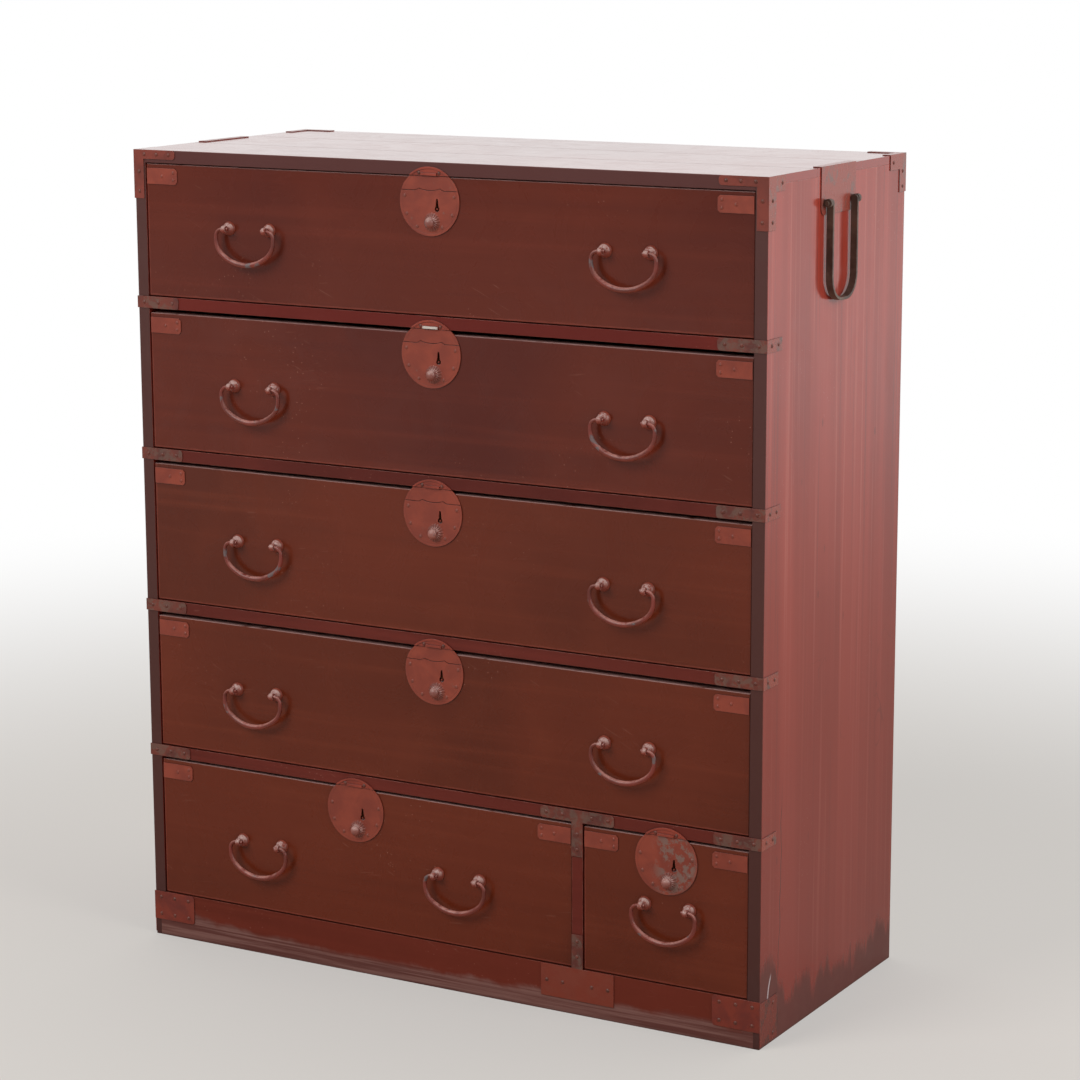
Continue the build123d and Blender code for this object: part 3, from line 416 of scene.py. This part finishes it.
def bare_wood(name, grain, dark, pale, shift):
    """Unpainted softwood, with knots, stains and painted shade in its corners."""
    shade = Shade(name, spec=0.3)
    color = wood_color(shade, grain, shift, dark, pale)
    knot_field = shade.cells(3.2, shade.spread(1, 1, 0.35, shift))
    knot = shade.span(knot_field, 0.055, 0.02)
    color = shade.tint(color, tone("#4a2d1c"), knot, 0.7)
    stain = shade.span(shade.noise(4, 5, 0.6, 0.5, shade.moved(shift + 9)), 0.5, 0.75)
    color = shade.tint(color, tone(dark), stain, 0.4)
    # Painted shade in the corners.
    color = shade.tint(color, tone("#3c2819"), shade.corner_shade(12 * MM), 0.5)
    fibre = shade.noise(1, 4, 0.6, 0.2, shade.spread(*GRAIN[grain], shift))
    rough = shade.span(fibre, 0.3, 0.7, 0.62, 0.8)
    return shade.finish(color, rough, shade.bump(fibre, 0.3, 0.5 * MM))


# ---------------------------------------------------------------- iron
# Painted shade: the dark colour laid in corners and against fittings of the iron, and how far it reaches.
PAINTED_SHADE = tone("#33130f")
PAINTED_SHADE_REACH = 2.5 * MM
# The plate on the base rail, under the post, is brighter than the straps. This is its top.
FOOT_PLATE_TOP = 59 * MM
# Round lock plates: outer radius, the part over the rail above, and a scribed line near the rim.
LOCK_RADIUS = 41.5 * MM
LOCK_RISE = 10.8 * MM
LOCK_LINE_RADIUS = 38.2 * MM
# The push knob is this far right of the middle of its lock plate, and this far below it.
KNOB_SHIFT = 3.5 * MM
KNOB_DROP = 24.7 * MM
# How far the nails of a drawer's plates, and its rosettes, stand in front of the lacquer.
NAIL_FOOT, NAIL_TOP = 1.9 * MM, 2.7 * MM
ROSETTE_FACE = 3.2 * MM
# Only the sixth drawer's lock plate has lost much paint, most of it right of its middle.
WORN_LOCK_DRAWER, WORN_LOCK_AMOUNT = 6, 0.10
# The striker plate over the second drawer has a lip of bare metal along its lower edge.
BRIGHT_LIP_DRAWER = 2
LIP_MIDDLE = 1.5 * MM
LIP_HALF_WIDTH, LIP_HALF_HEIGHT = 12 * MM, 5 * MM
LIP_FACE = 1.7 * MM


def painted_iron(shade, paint, deep, bare, amount, shift=0.0, rim_color="#b3665a"):
    """Colour, roughness and height of hand-cut iron under worn red paint."""
    cloud = shade.noise(34, 5, 0.6, 0.5, shade.moved(shift))
    fine = shade.noise(230, 4, 0.6, 0.0, shade.moved(shift))
    color = shade.blend(shade.span(cloud, 0.35, 0.65), deep, paint)
    patch = shade.noise(62, 6, 0.74, 0.3, shade.moved(shift + 4))
    worn = shade.span(patch, 0.62 - amount, 0.70 - amount)
    color = shade.tint(color, bare, worn, 0.6)
    spots = shade.span(shade.cells(300, shade.moved(shift)), 0.16, 0.08)
    speck_where = shade.span(shade.noise(26, 2, 0.5, 0, shade.moved(shift + 8)), 0.5, 0.62)
    speck = shade.times(spots, speck_where)
    color = shade.tint(color, bare, speck, 0.4)
    rim, soft = shade.edges(0.5 * MM, 0.2)
    rim_wear = shade.span(shade.noise(80, 3, 0.6, 0, shade.moved(shift + 2)), 0.3, 0.55)
    color = shade.tint(color, tone(rim_color), shade.times(rim, rim_wear), 0.65)
    height = shade.plus(shade.times(cloud, 0.8), shade.times(fine, 0.25))
    height = shade.minus(height, shade.times(worn, 0.2))
    rough = shade.plus(shade.span(fine, 0.3, 0.7, 0.36, 0.5), shade.times(worn, 0.08))
    return color, rough, height, soft


def case_iron(name, paint, deep, side_paint, side_bare, front_bare, amount, shift, rim_color="#a4645a",
              low_paint=None):
    """Plates of the case: the front's paint, and on the sides the colour of the boards there.

    low_paint is the brighter paint of the plate on the base rail.
    """
    shade = Shade(name, spec=0.4, coat=0.1, coat_rough=0.12)
    color, rough, height, soft = painted_iron(shade, tone(paint), tone(deep), tone(front_bare), amount,
                                              shift, rim_color)
    if low_paint:
        low = shade.span(shade.z, FOOT_PLATE_TOP + 0.5 * MM, FOOT_PLATE_TOP - 0.5 * MM)
        color = shade.tint(color, tone(low_paint), low, 0.85)
    sideways = shade.either(shade.facing(0, 1), shade.facing(0, -1))
    stain = shade.noise(90, 6, 0.72, 0.4, shade.spread(1, 1, 0.6, shift + 12))
    side_color = shade.blend(shade.span(stain, 0.5, 0.62), tone(side_paint), tone(side_bare))
    color = shade.tint(color, side_color, sideways, 0.92)
    above = shade.facing(2, 1)
    color = shade.tint(color, tone("#94473c"), above, 0.7)
    # Painted shade in corners and against fittings.
    color = shade.tint(color, PAINTED_SHADE, shade.corner_shade(PAINTED_SHADE_REACH), 0.6)
    rough = shade.minus(rough, shade.times(shade.either(sideways, above), 0.2))
    return shade.finish(color, rough, shade.bump(height, 0.25, 0.4 * MM, soft))


def drawer_iron(number, lock_x, lock_z, wear):
    """The fittings of one drawer: plates, flat nails, the rosettes, rubbed and with a painted highlight
    on top, the lock's line, and painted shade in corners.
    """
    shade = Shade(f"drawer_iron_{number}", spec=0.4)
    color, rough, height, soft = painted_iron(shade, tone("#97422f"), tone("#853829"), tone("#7d6a60"),
                                              amount=-0.02, shift=number * 5.3)
    dx = shade.minus(shade.x, lock_x)
    dz = shade.minus(shade.z, lock_z)
    reach = shade.calc("SQRT", shade.plus(shade.times(dx, dx), shade.times(dz, dz)))
    groove = shade.line(reach, LOCK_LINE_RADIUS, 0.5 * MM)
    color = shade.tint(color, tone("#5e241d"), groove, 0.3)
    height = shade.minus(height, shade.times(groove, 0.6))
    if wear:
        flake = shade.noise(75, 7, 0.75, 0.2, shade.moved(3))
        field = shade.times(shade.span(reach, 45 * MM, 34 * MM), shade.span(dx, -24 * MM, 0.0))
        bared = shade.times(shade.span(flake, 0.6 - wear, 0.66 - wear), field)
        color = shade.tint(color, tone("#806e66"), bared, 0.7)
    nail = shade.times(shade.span(shade.y, FRONT_FACE - NAIL_FOOT + 0.25 * MM, FRONT_FACE - NAIL_FOOT),
                       shade.span(shade.y, FRONT_FACE - NAIL_TOP - 0.4 * MM, FRONT_FACE - NAIL_TOP))
    color = shade.tint(color, tone("#70453c"), nail, 0.5)
    proud = shade.span(shade.y, FRONT_FACE - NAIL_TOP, FRONT_FACE - ROSETTE_FACE)
    rub = shade.span(shade.noise(260, 4, 0.6, 0, shade.moved(number)), 0.3, 0.58)
    upper = shade.facing(2, 1, -0.35, 0.55)
    # Painted highlight, partly real rubbing: the rosettes turn pink-grey on their rubbed upward faces,
    # over orange-red paint.
    lit_and_worn_head = shade.blend(shade.times(rub, upper), tone("#8c3c2e"), tone("#c4a49d"))
    color = shade.tint(color, lit_and_worn_head, proud, 0.85)
    behind = shade.span(shade.y, FRONT_FACE + 1 * MM, FRONT_FACE + 3 * MM)
    color = shade.blend(behind, color, tone("#2b2320"))
    # Painted shade in corners and against the proud pieces, weaker on the proud pieces themselves.
    sunk = shade.times(shade.corner_shade(PAINTED_SHADE_REACH), shade.span(proud, 0.0, 1.0, 0.65, 0.25))
    color = shade.blend(sunk, color, PAINTED_SHADE)
    return shade.finish(color, rough, shade.bump(height, 0.35, 0.5 * MM, soft))


def pull_iron(name, shift, paint="#85352a", deep="#692a20", rubbed_highlight="#cf9489", under_shading="#a5472f"):
    """Handled iron: thin paint with grey bare spots, rubbed and with a painted highlight on its upper
    side, and painted shading in orange-red on its underside.
    """
    shade = Shade(name, spec=0.5)
    color, rough, height, soft = painted_iron(shade, tone(paint), tone(deep), tone("#6f6462"),
                                              amount=-0.02, shift=shift)
    # Painted highlight on the upward faces, in rubbed patches.
    upper = shade.facing(2, 1, 0.0, 0.95)
    rub = shade.span(shade.noise(110, 4, 0.65, 0, shade.moved(shift + 6)), 0.28, 0.58)
    color = shade.tint(color, tone(rubbed_highlight), shade.times(upper, rub), 0.7)
    # Painted shading: the underside is orange-red.
    under = shade.facing(2, -1, 0.1, 0.9)
    color = shade.tint(color, tone(under_shading), under, 0.5)
    spot = shade.span(shade.noise(55, 2, 0.5, 0, shade.moved(shift + 21)), 0.63, 0.68)
    color = shade.tint(color, tone("#6a6668"), spot, 0.75)
    return shade.finish(color, rough, shade.bump(height, 0.3, 0.4 * MM, soft))


def nail_iron():
    """Flat nail heads: the colour of the plates round them, a little darker, with a painted highlight on
    their upward faces.
    """
    shade = Shade("nail_iron", spec=0.35)
    color, rough, height, soft = painted_iron(shade, tone("#74392d"), tone("#5f3127"), tone("#7b6a64"),
                                              amount=0.0, shift=4.0, rim_color="#84564d")
    # Painted highlight: the upward faces are a lighter grey.
    upper = shade.facing(2, 1, 0.1, 0.8)
    color = shade.tint(color, tone("#8f7872"), upper, 0.35)
    return shade.finish(color, rough, shade.bump(height, 0.3, 0.4 * MM, soft))


def black_iron():
    """Dark forged iron with brown rust and rubbed edges."""
    shade = Shade("black_iron", spec=0.5)
    cloud = shade.noise(40, 5, 0.65, 0.4)
    fine = shade.noise(320, 4, 0.6, 0.0)
    color = shade.blend(shade.span(cloud, 0.35, 0.7), tone("#43332a"), tone("#6a564a"))
    rust = shade.span(shade.noise(70, 5, 0.7, 0.2), 0.56, 0.68)
    color = shade.tint(color, tone("#65402f"), rust, 0.5)
    rim, soft = shade.edges(0.8 * MM, 0.2)
    color = shade.tint(color, tone("#8a7668"), shade.times(rim, shade.span(cloud, 0.3, 0.5)), 0.6)
    height = shade.plus(shade.times(cloud, 0.8), shade.times(fine, 0.3))
    rough = shade.span(fine, 0.3, 0.7, 0.38, 0.55)
    return shade.finish(color, rough, shade.bump(height, 0.4, 0.5 * MM, soft))


def striker_iron(bright_x, bright_z):
    """The plates over the drawers. One lip is rubbed to bare metal."""
    shade = Shade("striker_iron", spec=0.4)
    color, rough, height, soft = painted_iron(shade, tone("#9c3f2d"), tone("#843324"), tone("#76625a"),
                                              amount=-0.01, shift=3.0)
    away_x = shade.calc("ABSOLUTE", shade.minus(shade.x, bright_x))
    near_x = shade.span(away_x, LIP_HALF_WIDTH, LIP_HALF_WIDTH - 3 * MM)
    away_z = shade.calc("ABSOLUTE", shade.minus(shade.z, bright_z))
    near_z = shade.span(away_z, LIP_HALF_HEIGHT, LIP_HALF_HEIGHT - 1 * MM)
    proud = shade.span(shade.y, CASE_FRONT - LIP_FACE + 0.25 * MM, CASE_FRONT - LIP_FACE)
    rub = shade.span(shade.noise(160, 4, 0.6, 0), 0.2, 0.45)
    lip = shade.times(near_x, near_z, proud, rub)
    color = shade.blend(lip, color, tone("#d3c8c0"))
    # Painted shade in corners and against fittings.
    color = shade.tint(color, PAINTED_SHADE, shade.corner_shade(PAINTED_SHADE_REACH), 0.6)
    return shade.finish(color, rough, shade.bump(height, 0.35, 0.5 * MM, soft))


# ---------------------------------------------------------------- materials on the nodes
give(["left_side", "right_side"], side_lacquer())
give(["top_panel"], top_lacquer())
give(["front_rails"], rail_lacquer("rail_lacquer", shift=1.0, worn_foot=False))
give(["base_rail"], rail_lacquer("base_lacquer", shift=6.0, worn_foot=True))
give(["divider"], rail_lacquer("divider_lacquer", shift=9.0, worn_foot=False))
give(["back_panel"], bare_wood("back_wood", "z", dark="#5b3f2b", pale="#8a6647", shift=3.0))
give(["bottom_panel", "drawer_runners"],
     bare_wood("inner_wood", "y", dark="#6e4d33", pale="#a37c56", shift=5.0))
give(["corner_plates"],
     case_iron("corner_iron", paint="#87392b", deep="#733024", side_paint="#9a4e42", side_bare="#83605a",
               front_bare="#6e5a54", amount=-0.02, shift=1.0, rim_color="#b0705f"))
give(["rail_straps"],
     case_iron("strap_iron", paint="#793527", deep="#5c2922", side_paint="#96463a", side_bare="#6a4a44",
               front_bare="#6b5449", amount=0.15, shift=2.0, rim_color="#94594e", low_paint="#86331f"))
give(["base_plates"],
     case_iron("base_iron", paint="#84301f", deep="#6c251c", side_paint="#742a1f", side_bare="#4e2c27",
               front_bare="#6e5a54", amount=-0.03, shift=8.0))
give(["carry_plates"],
     case_iron("saddle_iron", paint="#8c3a2f", deep="#732d25", side_paint="#9a4a3e", side_bare="#7a5a54",
               front_bare="#7c6a64", amount=0.02, shift=9.0))
give(["case_nails"], nail_iron())
give(["carry_posts", "carry_handle_left", "carry_handle_right"], black_iron())

box_wood = bare_wood("box_wood", "y", dark="#8a6544", pale="#c29c70", shift=7.0)
bolt_iron = black_iron()
for number in range(1, 7):
    name = f"drawer_{number}"
    knob_low, knob_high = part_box(f"{name}_lock_knob")
    lock_x = (knob_low.x + knob_high.x) / 2 - KNOB_SHIFT
    lock_z = (knob_low.z + knob_high.z) / 2 + KNOB_DROP
    wear = WORN_LOCK_AMOUNT if number == WORN_LOCK_DRAWER else 0.0
    give([f"{name}_front"], front_lacquer(number))
    give([f"{name}_box"], box_wood)
    give([f"{name}_irons"], drawer_iron(number, lock_x, lock_z, wear))
    give([f"{name}_lock_bolt"], bolt_iron)
    give([f"{name}_lock_knob"],
         pull_iron(f"knob_iron_{number}", number, paint="#a4655b", deep="#854a41", rubbed_highlight="#d0b0a8"))
    if number == BRIGHT_LIP_DRAWER:
        lip_z = lock_z + LOCK_RADIUS - LOCK_RISE + LIP_MIDDLE
        give(["striker_plates"], striker_iron(lock_x, lip_z))
    for ending in ("_pull_left", "_pull_right", "_pull"):
        if name + ending in nodes:
            give([name + ending], pull_iron(f"{name}{ending}_iron", number * 2.0 + len(ending)))


# ---------------------------------------------------------------- stage, light and camera
FLOOR_HALF = 9.0
# The floor fades to white between these distances from the chest's middle.
FLOOR_FADE_START, FLOOR_FADE_END = 0.8, 3.0
FLOOR_GLOSS_START, FLOOR_GLOSS_END = 1.2, 6.2


def floor():
    """A plain pale floor that keeps the shadow near the chest and fades to white further out."""
    mesh = bpy.data.meshes.new("floor")
    half = FLOOR_HALF
    mesh.from_pydata([(-half, -half, 0), (half, -half, 0), (half, half, 0), (-half, half, 0)], [],
                     [(0, 1, 2, 3)])
    obj = bpy.data.objects.new("floor", mesh)
    bpy.context.scene.collection.objects.link(obj)
    shade = Shade("floor", spec=0.1)
    mat = shade.finish(tone("#bab2a8"), 0.9)
    path = shade.node("LightPath")
    flat = shade.calc("SQRT", shade.plus(shade.times(shade.x, shade.x), shade.times(shade.y, shade.y)))
    to_camera = shade.times(shade.span(flat, FLOOR_FADE_START, FLOOR_FADE_END, 0.35, 1.0),
                            path.outputs["Is Camera Ray"])
    to_gloss = shade.times(shade.span(flat, FLOOR_GLOSS_START, FLOOR_GLOSS_END),
                           path.outputs["Is Glossy Ray"])
    far = shade.calc("ADD", to_camera, to_gloss, clamp=True)
    glow = shade.node("Emission")
    glow.inputs["Color"].default_value = (1, 1, 1, 1)
    mixer = shade.node("MixShader")
    shade.put(mixer.inputs[0], far)
    shade.put(mixer.inputs[1], shade.bsdf.outputs["BSDF"])
    shade.put(mixer.inputs[2], glow.outputs[0])
    out = [n for n in shade.tree.nodes if n.bl_idname == "ShaderNodeOutputMaterial"][0]
    shade.put(out.inputs["Surface"], mixer.outputs[0])
    mesh.materials.append(mat)


# Light from the world in front of the chest and behind it, as strengths.
DARK_FRONT, BRIGHT_BACK = 0.2, 0.95


def world():
    """White to the camera. Soft and even to the object, with a darker room in front of it."""
    scene_world = bpy.data.worlds.new("studio")
    scene_world.use_nodes = True
    bpy.context.scene.world = scene_world
    tree = scene_world.node_tree
    tree.nodes.clear()

    def add(kind):
        return tree.nodes.new("ShaderNode" + kind)

    out = add("OutputWorld")
    coords = add("TexCoord")
    split = add("SeparateXYZ")
    tree.links.new(coords.outputs["Generated"], split.inputs[0])
    reach = add("MapRange")
    reach.interpolation_type = "SMOOTHSTEP"
    reach.inputs["From Min"].default_value = -0.5
    reach.inputs["From Max"].default_value = 0.35
    reach.inputs["To Min"].default_value = DARK_FRONT
    reach.inputs["To Max"].default_value = BRIGHT_BACK
    tree.links.new(split.outputs["Y"], reach.inputs["Value"])
    soft = add("Background")
    soft.inputs["Color"].default_value = (1, 1, 1, 1)
    tree.links.new(reach.outputs["Result"], soft.inputs["Strength"])
    white = add("Background")
    white.inputs["Color"].default_value = (1, 1, 1, 1)
    white.inputs["Strength"].default_value = 1.0
    path = add("LightPath")
    mixer = add("MixShader")
    tree.links.new(path.outputs["Is Camera Ray"], mixer.inputs[0])
    tree.links.new(soft.outputs[0], mixer.inputs[1])
    tree.links.new(white.outputs[0], mixer.inputs[2])
    tree.links.new(mixer.outputs[0], out.inputs["Surface"])


def lamp(name, place, target, size, power):
    """A square soft light of a size in metres and a power in watts, aimed at a target."""
    data = bpy.data.lights.new(name, "AREA")
    data.shape = "SQUARE"
    data.size = size
    data.energy = power
    obj = bpy.data.objects.new(name, data)
    bpy.context.scene.collection.objects.link(obj)
    obj.location = place
    aim = Vector(target) - Vector(place)
    obj.rotation_euler = aim.to_track_quat("-Z", "Y").to_euler()


# The photograph's camera, fitted to the case's corners: degrees, metres from the case's middle on
# the floor, and millimetres of sensor and lens.
CAMERA_AZIMUTH, CAMERA_ELEVATION, CAMERA_ROLL = 29.88, 11.50, -0.19
CAMERA_RIGHT, CAMERA_AHEAD, CAMERA_HEIGHT = 1.9572, 3.3467, 1.3262
SENSOR_WIDTH, LENS = 36.0, 104.07


def camera():
    """The photograph's view: its place, direction and angle of view, with no shift."""
    azimuth = math.radians(CAMERA_AZIMUTH)
    elevation = math.radians(CAMERA_ELEVATION)
    roll = math.radians(CAMERA_ROLL)
    place = Vector((CAMERA_RIGHT, CASE_MIDDLE - CAMERA_AHEAD, CAMERA_HEIGHT))
    back = Vector((math.sin(azimuth) * math.cos(elevation), -math.cos(azimuth) * math.cos(elevation),
                   math.sin(elevation)))
    right = Vector((0, 0, 1)).cross(back).normalized()
    up = back.cross(right)
    turned_right = math.cos(roll) * right + math.sin(roll) * up
    turned_up = -math.sin(roll) * right + math.cos(roll) * up
    data = bpy.data.cameras.new("camera")
    data.sensor_width = SENSOR_WIDTH
    data.lens = LENS
    data.clip_start = 0.05
    data.clip_end = 60.0
    obj = bpy.data.objects.new("camera", data)
    bpy.context.scene.collection.objects.link(obj)
    turn = Matrix((turned_right, turned_up, back)).transposed().to_4x4()
    obj.matrix_world = Matrix.Translation(place) @ turn
    bpy.context.scene.camera = obj


floor()
world()
lamp("key", place=(-1.6, -3.2, 3.0), target=(0, 0, 0.5), size=2.4, power=95)
lamp("side", place=(3.6, -0.6, 2.2), target=(0.4, 0, 0.5), size=2.0, power=55)
camera()
bpy.context.scene.view_settings.view_transform = "Standard"
